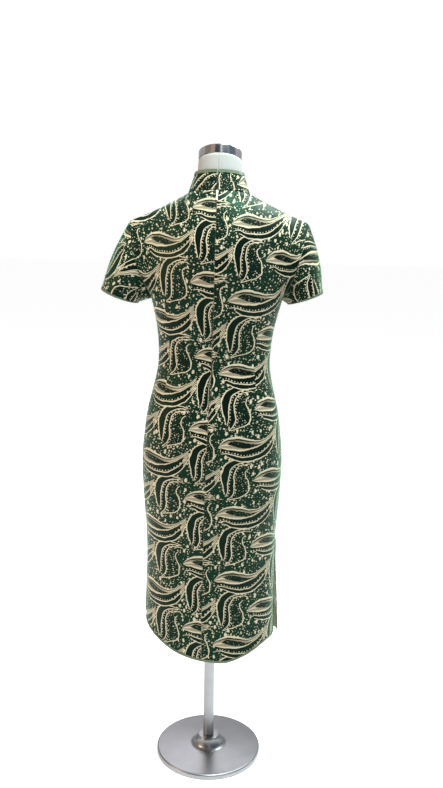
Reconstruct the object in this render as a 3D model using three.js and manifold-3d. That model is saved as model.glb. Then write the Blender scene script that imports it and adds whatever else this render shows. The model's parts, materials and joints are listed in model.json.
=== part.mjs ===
// A short-sleeved cheongsam with a back zip, on a limbless dress form with a round stand.
// Millimetres, +Z up. The front of the dress faces -Y and its left side is at +X.
// The origin is the middle of the stand's underside, on the floor.
import * as THREE from "three";
import { mergeVertices } from "three/addons/utils/BufferGeometryUtils.js";
import Module from "manifold-3d";

const wasm = await Module();
wasm.setup();

// ---- driving dimensions ----

const cloth = { wall: 1.5, seam: 0.3, binding: 1.1, facing: 1.0 };
const level = { underarm: 1102, slitTop: 572 };

// Sections of the dress: half width, and depth behind and in front of the middle.
const roundness = 2.3;
const sections = [
  { z: 270, half: 154, back: 107, front: 110 },
  { z: 440, half: 150, back: 106, front: 107 },
  { z: 560, half: 149, back: 108, front: 107 },
  { z: 620, half: 153, back: 112, front: 108 },
  { z: 685, half: 157, back: 117, front: 108 },
  { z: 750, half: 158, back: 120, front: 108 },
  { z: 805, half: 153, back: 118, front: 107 },
  { z: 855, half: 146, back: 111, front: 105 },
  { z: 905, half: 134, back: 98, front: 101 },
  { z: 950, half: 125, back: 88, front: 97 },
  { z: 990, half: 124, back: 86, front: 99 },
  { z: 1040, half: 129, back: 92, front: 114 },
  { z: 1102, half: 143, back: 100, front: 130 },
];

// Height of the hem round the skirt: t is 0 at the centre back and 90 at the left side.
const hem = [
  { t: -90, z: 326 },
  { t: -60, z: 325 },
  { t: -33, z: 301 },
  { t: -13, z: 287 },
  { t: 15, z: 301 },
  { t: 45, z: 331 },
  { t: 70, z: 351 },
  { t: 90, z: 352 },
  { t: 135, z: 316 },
  { t: 180, z: 292 },
  { t: 225, z: 299 },
  { t: 270, z: 326 },
];

// The skirt hangs a little turned on the form, and the figure leans a little to its right.
const turn = { most: 3, from: 980, to: 420 };
const sway = { most: -7, from: 856, to: 1200 };

// Fullness over the bust, one on each side of the centre front.
const bust = { angle: 38, z: 1108, proud: 11, across: 20, up: 52 };

const neckSeam = {
  half: 66,
  back: { y: 55, z: 1334 },
  side: { y: 0, z: 1328 },
  front: { y: -64, z: 1276 },
};
const collarTop = {
  half: 51.5,
  back: { y: 40, z: 1377 },
  side: { y: -6, z: 1371 },
  front: { y: -56, z: 1326 },
};
const ringFall = 1.6; // how late a neck ring dips towards its front and back points
const neckDrop = 1.7; // how far the form's neck lies below the dress's, for each part that it lies inside
const collarEnds = { backGap: 1.6, frontGap: 0.6, cornerAngle: 18, cornerDrop: 0.5 };
const collarBinding = 0.15; // share of the collar's height

const shoulder = { x: 193, y: -4, z: 1268, sag: 3 };

// How the yoke above the underarm rises: fairly straight at the centre, rounded over the shoulder.
const yoke = {
  back: { centre: 22, armhole: 49, bow: 6 },
  front: { centre: 6, armhole: -40, bow: 0 },
  rise: { centre: 1.0, shoulder: 1.7 },
  lean: { centre: 1.35, shoulder: 2.4 },
  neckReach: 1.3, // times the neck's share, until the shoulder's own rise and lean hold
  fullReach: 1.4, // how soon the fullness at the centre dies away
  edgeFrom: 0.45, // where the columns start to bend towards the armhole
};

// Each sleeve's hem ring, by its point next to the body and its outermost point.
const sleeves = {
  left: { side: 1, inner: [170, -2, 1091], outer: [250, -6, 1120] },
  right: { side: -1, inner: [-161, -2, 1095], outer: [-236, -6, 1120] },
};
const sleeve = { halfDepth: 54, bulge: 8, binding: 0.045 };

// Below the slits the front panel flares over the back panel's edge.
const slit = { gape: 2.6, flare: 7, tuck: 2, reach: 16 };
const slitStrip = { binding: 2, facing: 11 }; // degrees round the skirt
const hemBinding = 0.0065; // share of the skirt's length
const hemTurnUp = 0.08; // the facing ends this share above the hem

// Local frame of the zip: y out of the cloth, z up along it, 0 at the hinge.
const slider = { width: 5, depth: 2.2, up: 2.8, down: 4.6, corner: 0.8 };
const bail = { thick: 1, windowHeight: 2.4, windowDepth: 2.4, wire: 1 };
const pull = {
  thick: 1,
  bar: 1,
  hole: 3.1,
  holeWidth: 1.8,
  rim: 1.2,
  neckHalf: 1.3,
  length: 20,
  endWidth: 4.6,
  restTilt: 4,
};
const zipBelow = 4; // from the neck seam down to the hinge
const hook = { width: 8, height: 3.4, wire: 0.8, below: 3, behind: 0.9 };

const form = {
  ease: 7,
  neckEase: 4.5,
  seatRadius: 45.5,
  levels: [675, 685, 730, 770, 810, 855, 905, 950, 990, 1030, 1070, 1102],
};
const neckTop = { y: -17, z: 1396, tilt: 20 };
const cap = { radius: 46.3, height: 20, edge: 3, dome: 2.5 };
const stand = {
  poleRadius: 12.5,
  flangeRadius: 42,
  flangeHeight: 8,
  baseRadius: 125,
  baseHeight: 12,
  baseEdge: 4,
  bossRadius: 27,
  bossHeight: 40,
  bossEdge: 4,
  bossFlare: { low: { out: 18, up: 3 }, high: { out: 5, up: 9 } },
};

// ---- small tools ----

const { cos, sin, abs, PI, hypot, min, max, sign } = Math;
const rad = (degrees) => (degrees * PI) / 180;
const mix = (a, b, w) => a + (b - a) * w;
const clamp = (x) => min(1, max(0, x));
const smooth = (x) => clamp(x) ** 2 * (3 - 2 * clamp(x));
const bell = (x, width) => Math.exp(-((x / width) ** 2));
const vector = (x, y, z) => new THREE.Vector3(x, y, z);

// A smooth curve through a table's rows: the value of a column at a place along its key column.
function tableAt(rows, key, column, place) {
  const last = rows.length - 1;
  const next = rows.findIndex((row) => row[key] > place);
  const i = next < 0 ? last - 1 : max(0, next - 1);
  const [a, b] = [rows[i], rows[i + 1]];
  const before = rows[max(0, i - 1)];
  const after = rows[min(last, i + 2)];
  const span = b[key] - a[key];
  const w = clamp((place - a[key]) / span);
  const slopeA = ((b[column] - before[column]) / (b[key] - before[key])) * span;
  const slopeB = ((after[column] - a[column]) / (after[key] - a[key])) * span;
  return (
    a[column] * (1 + 2 * w) * (1 - w) ** 2 +
    slopeA * w * (1 - w) ** 2 +
    b[column] * w * w * (3 - 2 * w) +
    slopeB * w * w * (w - 1)
  );
}

// ---- the surface of the dress ----
// t goes round the body in degrees: 0 centre back, 90 left side, 180 centre front, 270 right side.
// h goes from -1 at the neck and shoulder, past 0 at the underarm, to 1 at the hem.

const hemAt = (t) => tableAt(hem, "t", "z", t > 270 ? t - 360 : t);
const turnAt = (z) => turn.most * smooth((turn.from - z) / (turn.from - turn.to));
const swayAt = (z) => sway.most * smooth((z - sway.from) / (sway.to - sway.from));
const heightAt = (t, h) => mix(level.underarm, hemAt(t), h);
const slitShare = (level.underarm - level.slitTop) / (level.underarm - hemAt(90));

function ringPoint(t, z, inset) {
  const half = tableAt(sections, "z", "half", z) - inset;
  const across = sin(rad(t));
  const along = cos(rad(t));
  const column = along > 0 ? "back" : "front";
  const offFront = abs(((t + 360) % 360) - 180);
  const cup = bell(offFront - bust.angle, bust.across) * bell(z - bust.z, bust.up) * bust.proud;
  const depth = tableAt(sections, "z", column, z) + (along < 0 ? cup : 0) - inset;
  const power = 2 / roundness;
  return vector(half * sign(across) * abs(across) ** power, depth * sign(along) * abs(along) ** power, z);
}

// A point of a ring given by its half width and its back, side and front points.
function neckRing(ring, angle, inset) {
  const along = cos(rad(angle));
  const end = along > 0 ? ring.back : ring.front;
  const reach = end.y - ring.side.y - sign(along) * inset;
  return vector(
    (ring.half - inset) * sin(rad(angle)),
    ring.side.y + reach * abs(along),
    ring.side.z + (end.z - ring.side.z) * abs(along) ** ringFall - neckDrop * inset,
  );
}

// The top edge of a quarter of the body: the neck seam, then the shoulder seam. u is 1 at the armhole.
const neckShare = 0.32;
function topEdge(isBack, u, inset) {
  if (u <= neckShare) {
    const angle = (u / neckShare) * 90;
    return neckRing(neckSeam, isBack ? angle : 180 - angle, inset);
  }
  const w = (u - neckShare) / (1 - neckShare);
  const drop = shoulder.sag * sin(PI * w) + mix(neckDrop, 1, smooth(w)) * inset;
  return vector(
    mix(neckSeam.half, shoulder.x, w) - inset,
    mix(neckSeam.side.y, shoulder.y, w),
    mix(neckSeam.side.z, shoulder.z, w) - drop,
  );
}

// The armhole's back or front edge, from the underarm at v = 0 up to the shoulder tip.
function armhole(isBack, v, inset) {
  const face = isBack ? yoke.back : yoke.front;
  const under = ringPoint(90, level.underarm, inset);
  const tip = topEdge(isBack, 1, inset);
  const out = sin(PI * v);
  return vector(
    mix(under.x, tip.x, v) + face.bow * out,
    mix(under.y, tip.y, v) + (face.armhole - sign(face.armhole) * inset) * out,
    mix(under.z, tip.z, v),
  );
}

function yokePoint(isBack, u, v, inset) {
  const face = isBack ? yoke.back : yoke.front;
  const column = (c) => {
    const low = ringPoint(isBack ? c * 90 : 180 - c * 90, level.underarm, inset);
    const top = topEdge(isBack, c, inset);
    const overShoulder = smooth(c / (yoke.neckReach * neckShare));
    const rise = 1 - (1 - v) ** mix(yoke.rise.centre, yoke.rise.shoulder, overShoulder);
    const lean = v ** mix(yoke.lean.centre, yoke.lean.shoulder, overShoulder);
    const full = face.centre * (1 - smooth(c * yoke.fullReach)) * sin(PI * v);
    return vector(
      mix(low.x, top.x, v),
      mix(low.y, top.y, lean) + (isBack ? full : -full),
      mix(low.z, top.z, rise),
    );
  };
  const toEdge = clamp((u - yoke.edgeFrom) / (1 - yoke.edgeFrom)) ** 2;
  const miss = armhole(isBack, v, inset).sub(column(1));
  return column(u).addScaledVector(miss, toEdge);
}

const quarterOf = (t) => ({
  side: t <= 180 ? 1 : -1,
  isBack: t <= 90 || t > 270,
  u: (t <= 90 ? t : t <= 180 ? 180 - t : t <= 270 ? t - 180 : 360 - t) / 90,
});

// part is "back", "front" or "form": below the slits the two panels part.
function bodyPoint(t, h, part, inset = 0) {
  if (h < 0) {
    const { side, isBack, u } = quarterOf(t);
    const p = yokePoint(isBack, u, -h, inset);
    return p.setX(p.x * side + swayAt(p.z));
  }
  const z = heightAt(t, h);
  const open = part === "form" ? 0 : smooth((level.slitTop - z) / (level.slitTop - hem[0].z));
  const nearSlit = open * bell(min(abs(t - 90), abs(t - 270)), slit.reach);
  const away = part === "back" ? slit.gape * (t < 180 ? -1 : 1) : 0;
  const p = ringPoint(t + turnAt(z) + away * nearSlit, z, inset);
  const out = part === "back" ? -slit.tuck : slit.flare * (t > 180 ? 1 : 0.4);
  const grow = 1 + (out * nearSlit) / hypot(p.x, p.y);
  return vector(p.x * grow + swayAt(z), p.y * grow, z);
}

// s goes once round the sleeve from the underarm, over the back first; k runs from armhole to hem.
function sleevePoint({ side, inner, outer }, s, k) {
  const round = s - Math.floor(s);
  const isBack = round <= 0.5;
  const from = armhole(isBack, isBack ? 2 * round : 2 - 2 * round, 0);
  from.x = from.x * side + swayAt(from.z);
  const near = vector(...inner);
  const middle = vector(...outer).add(near).multiplyScalar(0.5);
  const to = middle
    .clone()
    .addScaledVector(near.sub(middle), cos(2 * PI * round))
    .add(vector(0, sleeve.halfDepth * sin(2 * PI * round), 0));
  from.addScaledVector(to.clone().sub(from).normalize(), 2 * cloth.seam);
  const p = from.lerp(to, k);
  const out = vector(to.x - middle.x, to.y - middle.y, 0).normalize();
  return p.addScaledVector(out, sleeve.bulge * sin(PI * k) * sin(PI * round));
}

// k runs from the neck seam up to the collar's top edge, which is rounded at the two front corners.
function collarPoint(t, k) {
  const corner = clamp(1 - abs(t - 180) / collarEnds.cornerAngle);
  const top = 1 - collarEnds.cornerDrop * (1 - Math.sqrt(1 - corner ** 2));
  const p = neckRing(neckSeam, t, 0).lerp(neckRing(collarTop, t, 0), k * top);
  return p.setX(p.x + swayAt(p.z));
}

// ---- making solids ----

const finishes = {
  print: { color: 0x24442f, roughness: 0.6, metalness: 0 },
  binding: { color: 0x55614c, roughness: 0.45, metalness: 0 },
  facing: { color: 0x9a8564, roughness: 0.6, metalness: 0 },
  linen: { color: 0xe4e2dc, roughness: 0.85, metalness: 0 },
  steel: { color: 0xb8bac0, roughness: 0.25, metalness: 1 },
  enamel: { color: 0xe8ddd4, roughness: 0.35, metalness: 0 },
};

function named(name, finish, geometry) {
  const mesh = new THREE.Mesh(geometry, new THREE.MeshStandardMaterial(finishes[finish]));
  mesh.name = name;
  return mesh;
}

// Collects triangles and gives back a geometry with its shared corners merged.
function solidBuilder() {
  const places = [];
  const triangle = (a, b, c) => {
    const thin = 1e-3;
    if (a.distanceTo(b) < thin || b.distanceTo(c) < thin || c.distanceTo(a) < thin) return;
    for (const p of [a, b, c]) places.push(p.x, p.y, p.z);
  };
  const quad = (a, b, c, d) => {
    triangle(a, b, c);
    triangle(a, c, d);
  };
  const geometry = () => {
    const g = new THREE.BufferGeometry();
    g.setAttribute("position", new THREE.Float32BufferAttribute(places, 3));
    const merged = mergeVertices(g, 1e-3);
    merged.computeVertexNormals();
    return merged;
  };
  return { triangle, quad, geometry };
}

// Outward unit normal of a surface, by its slopes inside the given ranges.
function normalOf(surface, u, v, [u0, u1], [v0, v1], flip) {
  const du = (u1 - u0) * 0.004;
  const dv = (v1 - v0) * 0.004;
  const alongU = surface(min(u + du, u1), v).sub(surface(max(u - du, u0), v));
  const alongV = surface(u, min(v + dv, v1)).sub(surface(u, max(v - dv, v0)));
  return alongU.cross(alongV).normalize().multiplyScalar(flip);
}

// The way into the corner of two walls that meet at a seam, so that both end on one line.
const mitreLimits = { alike: 0.97, longest: 1.4 };
function mitre(a, depthA, b, depthB) {
  const c = a.dot(b);
  if (c > mitreLimits.alike) return a.clone().multiplyScalar(-depthA);
  const shareA = (depthB * c - depthA) / (1 - c * c);
  const shareB = (depthA * c - depthB) / (1 - c * c);
  const inward = a.clone().multiplyScalar(shareA).addScaledVector(b, shareB);
  return inward.clampLength(0, mitreLimits.longest * depthA);
}

// A wall between two offsets from a surface, measured along its outward normal.
// inwardAt may give another way in for the corners on a seam.
function wall({ surface, us, vs, outer, inner, flip, closed = false, inwardAt = () => null }) {
  const made = solidBuilder();
  const columns = us.length - 1;
  const rows = vs.length - 1;
  const uRange = closed ? [us[0] - 1, us[columns] + 1] : [us[0], us[columns]];
  const vRange = [vs[0], vs[rows]];
  const layers = us.map((u) =>
    vs.map((v) => {
      const place = surface(u, v);
      const out = normalOf(surface, u, v, uRange, vRange, flip);
      const inward = inwardAt(u, v) ?? out.clone().multiplyScalar(inner);
      return { outer: place.clone().addScaledVector(out, outer), inner: place.clone().add(inward) };
    }),
  );
  if (closed) layers[columns] = layers[0];
  const face = (a, b, c, d) => (flip > 0 ? made.quad(a, b, c, d) : made.quad(d, c, b, a));
  const edge = (a, b) => face(a.inner, b.inner, b.outer, a.outer);
  for (let i = 0; i < columns; i++) {
    for (let j = 0; j < rows; j++) {
      const [a, b, c, d] = [layers[i][j], layers[i + 1][j], layers[i + 1][j + 1], layers[i][j + 1]];
      face(a.outer, b.outer, c.outer, d.outer);
      face(a.inner, d.inner, c.inner, b.inner);
    }
    edge(layers[i][0], layers[i + 1][0]);
    edge(layers[i + 1][rows], layers[i][rows]);
  }
  for (let j = 0; j < rows && !closed; j++) {
    edge(layers[0][j + 1], layers[0][j]);
    edge(layers[columns][j], layers[columns][j + 1]);
  }
  return made.geometry();
}

// Joins overlapping geometries into one solid.
function joined(...geometries) {
  const solids = geometries.map((g) => {
    const bare = g.index ? g.toNonIndexed() : g;
    bare.deleteAttribute("normal");
    bare.deleteAttribute("uv");
    const merged = mergeVertices(bare, 1e-4);
    const triVerts = new Uint32Array(merged.index.array);
    return new wasm.Manifold(
      new wasm.Mesh({ numProp: 3, vertProperties: merged.attributes.position.array, triVerts }),
    );
  });
  const mesh = solids.reduce((a, b) => a.add(b)).getMesh();
  const g = new THREE.BufferGeometry();
  g.setAttribute("position", new THREE.BufferAttribute(new Float32Array(mesh.vertProperties), 3));
  g.setIndex(new THREE.BufferAttribute(new Uint32Array(mesh.triVerts), 1));
  g.computeVertexNormals();
  return g;
}

// ---- the dress ----

const seamAngle = 0.035; // keeps panels about 0.3 mm apart at the seams
const neckColumns = [0, 0.2, 0.4, 0.6, 0.8, 1].map((w) => w * neckShare);
const sideColumns = [0.42, 0.53, 0.65, 0.77];
const edgeColumns = [1 - slitStrip.facing / 90, 1 - slitStrip.binding / 90, 1];
const quarter = [...neckColumns, ...sideColumns, ...edgeColumns].map((u) => u * 90);
const collarCorner = [0.25, 0.5].map((w) => (w * neckShare * collarEnds.cornerAngle) / 90);
const frontQuarter = [0, ...collarCorner.map((u) => u * 90), ...quarter.slice(1)];
const yokeShares = [0, 0.05, 0.12, 0.23, 0.36, 0.5, 0.64, 0.78, 0.9, 0.998];
const skirtShares = [0.06, 0.11, 0.15, 0.19, 0.24, 0.3, 0.37, 0.45, 0.53, 0.61];
const facingRows = [slitShare, 0.79, 1 - hemTurnUp];
const turnUpRow = 0.965;
const slitShares = [...facingRows, turnUpRow, 1 - hemBinding, 1];
const bodyRows = [...yokeShares.map((v) => -v).reverse(), ...skirtShares, ...slitShares];

const columnsOf = {
  backLeft: quarter,
  frontLeft: frontQuarter.map((t) => 180 - t).reverse(),
  frontRight: frontQuarter.map((t) => 180 + t),
  backRight: quarter.map((t) => 360 - t).reverse(),
};

// The same columns, with the first and last moved off the seams.
function offSeams(columns) {
  const last = columns.length - 1;
  return columns.map((t, i) => (i === 0 ? t + seamAngle : i === last ? t - seamAngle : t));
}

// The way in for the wall corners along the armhole and shoulder seams.
function seamInward(limb, isBack, v) {
  const surface = (s, k) => sleevePoint(limb, s, k);
  const onLimb = normalOf(surface, isBack ? v / 2 : 1 - v / 2, 0, [-1, 2], [0, 1], limb.side);
  const onBody = yokeNormal(limb.side, isBack, 1, v);
  if (v < yokeShares[yokeShares.length - 1]) return mitre(onBody, cloth.wall, onLimb, cloth.wall);
  const ridge = onBody.clone().add(yokeNormal(limb.side, !isBack, 1, v)).normalize();
  return mitre(ridge, cloth.wall / ridge.dot(onBody), onLimb, cloth.wall);
}

function yokeNormal(side, isBack, u, v) {
  const surface = (a, b) => {
    const p = yokePoint(isBack, a, b, 0);
    return p.setX(p.x * side);
  };
  const flip = side * (isBack ? -1 : 1);
  return normalOf(surface, u, v, [0, 1], [0, 1], flip);
}

function panelInward(t, h) {
  if (h > 0) return null;
  const { side, isBack, u } = quarterOf(t);
  const v = -h;
  const topRow = v >= yokeShares[yokeShares.length - 1];
  if (u > 0.999) return seamInward(side > 0 ? sleeves.left : sleeves.right, isBack, v);
  if (!topRow || u < neckShare) return null;
  return mitre(yokeNormal(side, isBack, u, v), cloth.wall, yokeNormal(side, !isBack, u, v), cloth.wall);
}

function panel(name, part, columns) {
  return named(name, "print", wall({
    surface: (t, h) => bodyPoint(t, h, part),
    us: offSeams(columns),
    vs: bodyRows,
    outer: 0,
    inner: -cloth.wall,
    flip: 1,
    inwardAt: panelInward,
  }));
}

// What lies on a panel is a strip on some of its columns and rows, between two offsets.
const over = { outer: cloth.seam + cloth.binding, inner: cloth.seam };
const under = { outer: -cloth.wall - cloth.seam, inner: -cloth.wall - cloth.seam - cloth.facing };

function strip(name, finish, part, us, vs, { outer, inner }) {
  const surface = (t, h) => bodyPoint(t, h, part);
  return named(name, finish, wall({ surface, us, vs, outer, inner, flip: 1 }));
}

function hemBindings() {
  const vs = [1 - hemBinding, 1];
  const frontColumns = [...columnsOf.frontLeft, ...columnsOf.frontRight.slice(1)];
  return [
    strip("hem_binding_back_left", "binding", "back", offSeams(columnsOf.backLeft), vs, over),
    strip("hem_binding_back_right", "binding", "back", offSeams(columnsOf.backRight), vs, over),
    strip("hem_binding_front", "binding", "front", offSeams(frontColumns), vs, over),
  ];
}

function slitTrims() {
  const above = cloth.seam / (level.underarm - hemAt(90));
  const bindingRows = [...facingRows, turnUpRow, 1 - hemBinding - above];
  const { backLeft, frontLeft, frontRight, backRight } = columnsOf;
  return [
    strip("slit_binding_back_left", "binding", "back", offSeams(backLeft).slice(-2), bindingRows, over),
    strip("slit_binding_front_left", "binding", "front", offSeams(frontLeft).slice(0, 2), bindingRows, over),
    strip("slit_binding_front_right", "binding", "front", offSeams(frontRight).slice(-2), bindingRows, over),
    strip("slit_binding_back_right", "binding", "back", offSeams(backRight).slice(0, 2), bindingRows, over),
    strip("slit_facing_left", "facing", "front", offSeams(frontLeft).slice(0, 3), facingRows, under),
    strip("slit_facing_right", "facing", "front", offSeams(frontRight).slice(-3), facingRows, under),
  ];
}

function sleeveParts(name, limb) {
  const surface = (s, k) => sleevePoint(limb, s, k);
  const shares = [...yokeShares.slice(0, -1), 1];
  const us = [...shares.map((v) => v / 2), ...shares.map((v) => 1 - v / 2).reverse().slice(1)];
  const common = { surface, us, flip: limb.side, closed: true };
  const inwardAt = (s, k) => {
    if (k > 0) return null;
    const isBack = s <= 0.5;
    return seamInward(limb, isBack, min(isBack ? 2 * s : 2 - 2 * s, yokeShares[yokeShares.length - 1]));
  };
  const vs = [0, 0.22, 0.48, 0.74, 1 - sleeve.binding, 1];
  return [
    named(`sleeve_${name}`, "print", wall({ ...common, vs, outer: 0, inner: -cloth.wall, inwardAt })),
    named(`sleeve_binding_${name}`, "binding", wall({ ...common, vs: vs.slice(-2), ...over })),
  ];
}

// The collar's columns stand on the columns of the panels that it is sewn to.
function collarParts(name, side) {
  const angleOf = (u) => (u / neckShare) * 90;
  const back = neckColumns.map(angleOf);
  const front = [0, ...collarCorner, ...neckColumns.slice(1, -1)].map((u) => 180 - angleOf(u)).reverse();
  const around = [...back, ...front];
  around[0] += collarEnds.backGap;
  around[around.length - 1] -= collarEnds.frontGap;
  const us = side > 0 ? around : around.map((a) => 360 - a).reverse();
  const lift = cloth.seam / (collarTop.back.z - neckSeam.back.z);
  const vs = [lift, 0.5, 1 - collarBinding, 1];
  const common = { surface: collarPoint, us, flip: -1 };
  return [
    named(`collar_${name}`, "print", wall({ ...common, vs, outer: 0, inner: -cloth.wall })),
    named(`collar_binding_${name}`, "binding", wall({ ...common, vs: vs.slice(-2), ...over })),
  ];
}

// ---- the zip's slider and pull tab, and the collar's hook ----

// A rounded rectangle, centred across and running from bottom to top.
function rounded(width, bottom, top, corner) {
  const half = width / 2;
  const shape = new THREE.Shape();
  shape.moveTo(-half + corner, bottom);
  shape.lineTo(half - corner, bottom);
  shape.absarc(half - corner, bottom + corner, corner, -PI / 2, 0);
  shape.lineTo(half, top - corner);
  shape.absarc(half - corner, top - corner, corner, 0, PI / 2);
  shape.lineTo(-half + corner, top);
  shape.absarc(-half + corner, top - corner, corner, PI / 2, PI);
  shape.lineTo(-half, bottom + corner);
  shape.absarc(-half + corner, bottom + corner, corner, PI, 1.5 * PI);
  return shape;
}

// A shape drawn across (x) and up (z), given a thickness in y.
function plate(shape, from, thick) {
  const g = new THREE.ExtrudeGeometry(shape, { depth: thick, bevelEnabled: false, curveSegments: 5 });
  return g.rotateX(PI / 2).translate(0, from + thick, 0);
}

function zipSlider() {
  const block = plate(rounded(slider.width, -slider.down, slider.up, slider.corner), 0, slider.depth);
  const windowTop = slider.depth + bail.windowDepth;
  const arch = rounded(bail.windowHeight + 2 * bail.wire, slider.depth * 0.3, windowTop + bail.wire, 0.9);
  arch.holes.push(rounded(bail.windowHeight, slider.depth * 0.6, windowTop, 0.4));
  const bow = new THREE.ExtrudeGeometry(arch, { depth: bail.thick, bevelEnabled: false, curveSegments: 4 });
  bow.translate(0, 0, -bail.thick / 2).rotateY(-PI / 2);
  return named("zip_slider", "enamel", joined(block, bow));
}

function zipPullTab() {
  const ringHalf = pull.holeWidth / 2 + pull.rim;
  const holeEnd = -pull.bar / 2 - pull.hole;
  const endHalf = pull.endWidth / 2;
  const shape = new THREE.Shape();
  shape.moveTo(-ringHalf, pull.bar / 2);
  shape.lineTo(-ringHalf, holeEnd);
  shape.lineTo(-pull.neckHalf, holeEnd - pull.neckHalf);
  shape.lineTo(-endHalf, endHalf - pull.length);
  shape.absarc(0, endHalf - pull.length, endHalf, PI, 2 * PI);
  shape.lineTo(pull.neckHalf, holeEnd - pull.neckHalf);
  shape.lineTo(ringHalf, holeEnd);
  shape.lineTo(ringHalf, pull.bar / 2);
  shape.holes.push(rounded(pull.holeWidth, holeEnd, -pull.bar / 2, 0.3));
  const tab = named("zip_pull_tab", "enamel", plate(shape, -pull.thick / 2, pull.thick));
  tab.position.y = slider.depth + bail.windowDepth / 2;
  tab.rotation.x = -rad(pull.restTilt);
  return tab;
}

// A group lying on a seam: y out of the cloth, z up along it from low to high.
function onSeam(place, low, high) {
  const seamGroup = new THREE.Group();
  const up = high.clone().sub(low);
  seamGroup.rotation.x = Math.atan2(-up.y, up.z);
  seamGroup.position.copy(place);
  return seamGroup;
}

function zip() {
  const [top, next] = bodyRows.slice(0, 2).map((h) => bodyPoint(0, h, "back"));
  const hinge = top.clone().add(next.clone().sub(top).setLength(zipBelow));
  const lying = onSeam(hinge, next, top);
  const lifted = new THREE.Group();
  lifted.position.y = cloth.seam;
  lifted.add(zipSlider(), zipPullTab());
  return lying.add(lifted);
}

function collarHook() {
  const top = collarPoint(0, 1);
  const lying = onSeam(top, collarPoint(0, 0.5), top);
  const shape = rounded(hook.width, -hook.below - hook.height, -hook.below, hook.height * 0.4);
  const inside = hook.wire * 2;
  shape.holes.push(
    rounded(hook.width - inside, -hook.below - hook.height + hook.wire, -hook.below - hook.wire, 0.5),
  );
  const behind = -cloth.wall - hook.behind - hook.wire;
  return lying.add(named("collar_hook", "steel", plate(shape, behind, hook.wire)));
}

// ---- the dress form and its stand ----

const neckPlane = new THREE.Group();
neckPlane.position.set(sway.most, neckTop.y, neckTop.z);
neckPlane.rotation.x = rad(neckTop.tilt);
neckPlane.updateMatrix();

// The corners of one level of the form, all round: each quarter runs up to its side column.
const formLevels = {
  ring: (z) => (t) => {
    const p = ringPoint(t + turnAt(z), z, form.ease);
    return p.setX(p.x + swayAt(z));
  },
  yoke: (v) => (t, isBack, side, u) => {
    const p = yokePoint(isBack, u, v, form.ease);
    return p.setX(p.x * side + swayAt(p.z));
  },
};

function formRing(at) {
  const part = (columns, isBack, side) => columns.map((t) => at(t, isBack, side, quarterOf(t).u));
  return [
    ...part(quarter, true, 1),
    ...part(quarter.map((t) => 180 - t).reverse(), false, 1),
    ...part(quarter.map((t) => 180 + t), false, -1),
    ...part(quarter.map((t) => 360 - t).reverse(), true, -1),
  ];
}

function neckRings() {
  const angles = neckColumns.map((u) => (u / neckShare) * 90);
  const round = [0, 90, 180, 270].flatMap((start) => {
    const odd = (start / 90) % 2 === 1;
    return angles.slice(0, -1).map((a, i) => (odd ? start + 90 - angles[angles.length - 1 - i] : start + a));
  });
  const ring = (spec, inset) => round.map((a) => {
    const p = neckRing(spec, a, inset);
    return p.setX(p.x + swayAt(p.z));
  });
  const seat = round.map((a) => vector(sin(rad(a)), cos(rad(a)), 0)
    .multiplyScalar(form.seatRadius)
    .applyMatrix4(neckPlane.matrix));
  return [ring(neckSeam, form.ease), ring(collarTop, form.neckEase), seat];
}

function torso() {
  const made = solidBuilder();
  const join = (lower, upper) => {
    const count = lower.length;
    lower.forEach((a, i) => made.quad(upper[i], upper[(i + 1) % count], lower[(i + 1) % count], a));
  };
  const fan = (ring, middle, up) => ring.forEach((a, i) => {
    const b = ring[(i + 1) % ring.length];
    made.triangle(...(up ? [b, a, middle] : [a, b, middle]));
  });
  const levels = [
    ...form.levels.map((z) => formRing(formLevels.ring(z))),
    ...yokeShares.slice(1, -1).map((v) => formRing(formLevels.yoke(v))),
    formRing(formLevels.yoke(1)),
  ];
  levels.slice(1).forEach((upper, i) => join(levels[i], upper));
  const neck = neckRings();
  neck.slice(1).forEach((upper, i) => join(neck[i], upper));
  fan(levels[0], vector(0, 0, form.levels[0]), false);
  fan(neck[neck.length - 1], neckPlane.position, true);
  return named("form_torso", "linen", made.geometry());
}

// A solid of revolution about +Z from a profile of radius and height that starts and ends on the axis.
function turned(name, finish, profile, segments) {
  const points = profile.map(([r, z]) => new THREE.Vector2(r, z));
  return named(name, finish, new THREE.LatheGeometry(points, segments).rotateX(PI / 2));
}

// The points of a quarter round between a vertical side and a flat top.
const roundEdge = (radius, top, edge) =>
  [0, 22.5, 45, 67.5, 90].map((a) => [radius - edge + edge * cos(rad(a)), top - edge + edge * sin(rad(a))]);

function neckCap() {
  const profile = [[0, 0], [cap.radius, 0], ...roundEdge(cap.radius, cap.height, cap.edge)];
  const domed = [0.75, 0.5, 0.25, 0].map((w) => [
    (cap.radius - cap.edge) * w,
    cap.height + cap.dome * (1 - w * w),
  ]);
  const mesh = turned("form_neck_cap", "steel", [...profile, ...domed], 48);
  mesh.position.z = cloth.seam;
  neckPlane.add(mesh);
  return neckPlane;
}

function standParts() {
  const { poleRadius, flangeRadius, flangeHeight, bossRadius, bossHeight, bossFlare } = stand;
  const { baseRadius, baseHeight, baseEdge } = stand;
  const top = form.levels[0] - cloth.seam;
  const foot = bossHeight + cloth.seam;
  const pole = [
    [0, foot],
    [poleRadius, foot],
    [poleRadius, top - 2 * flangeHeight],
    [flangeRadius, top - flangeHeight / 2],
    [flangeRadius, top],
    [0, top],
  ];
  const base = [
    [0, 0],
    [baseRadius, 0],
    ...roundEdge(baseRadius, baseHeight, baseEdge),
    [bossRadius + bossFlare.low.out, baseHeight + bossFlare.low.up],
    [bossRadius + bossFlare.high.out, baseHeight + bossFlare.high.up],
    ...roundEdge(bossRadius, bossHeight, stand.bossEdge),
    [0, bossHeight],
  ];
  return [turned("stand_pole", "steel", pole, 32), turned("stand_base", "steel", base, 72)];
}

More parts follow.
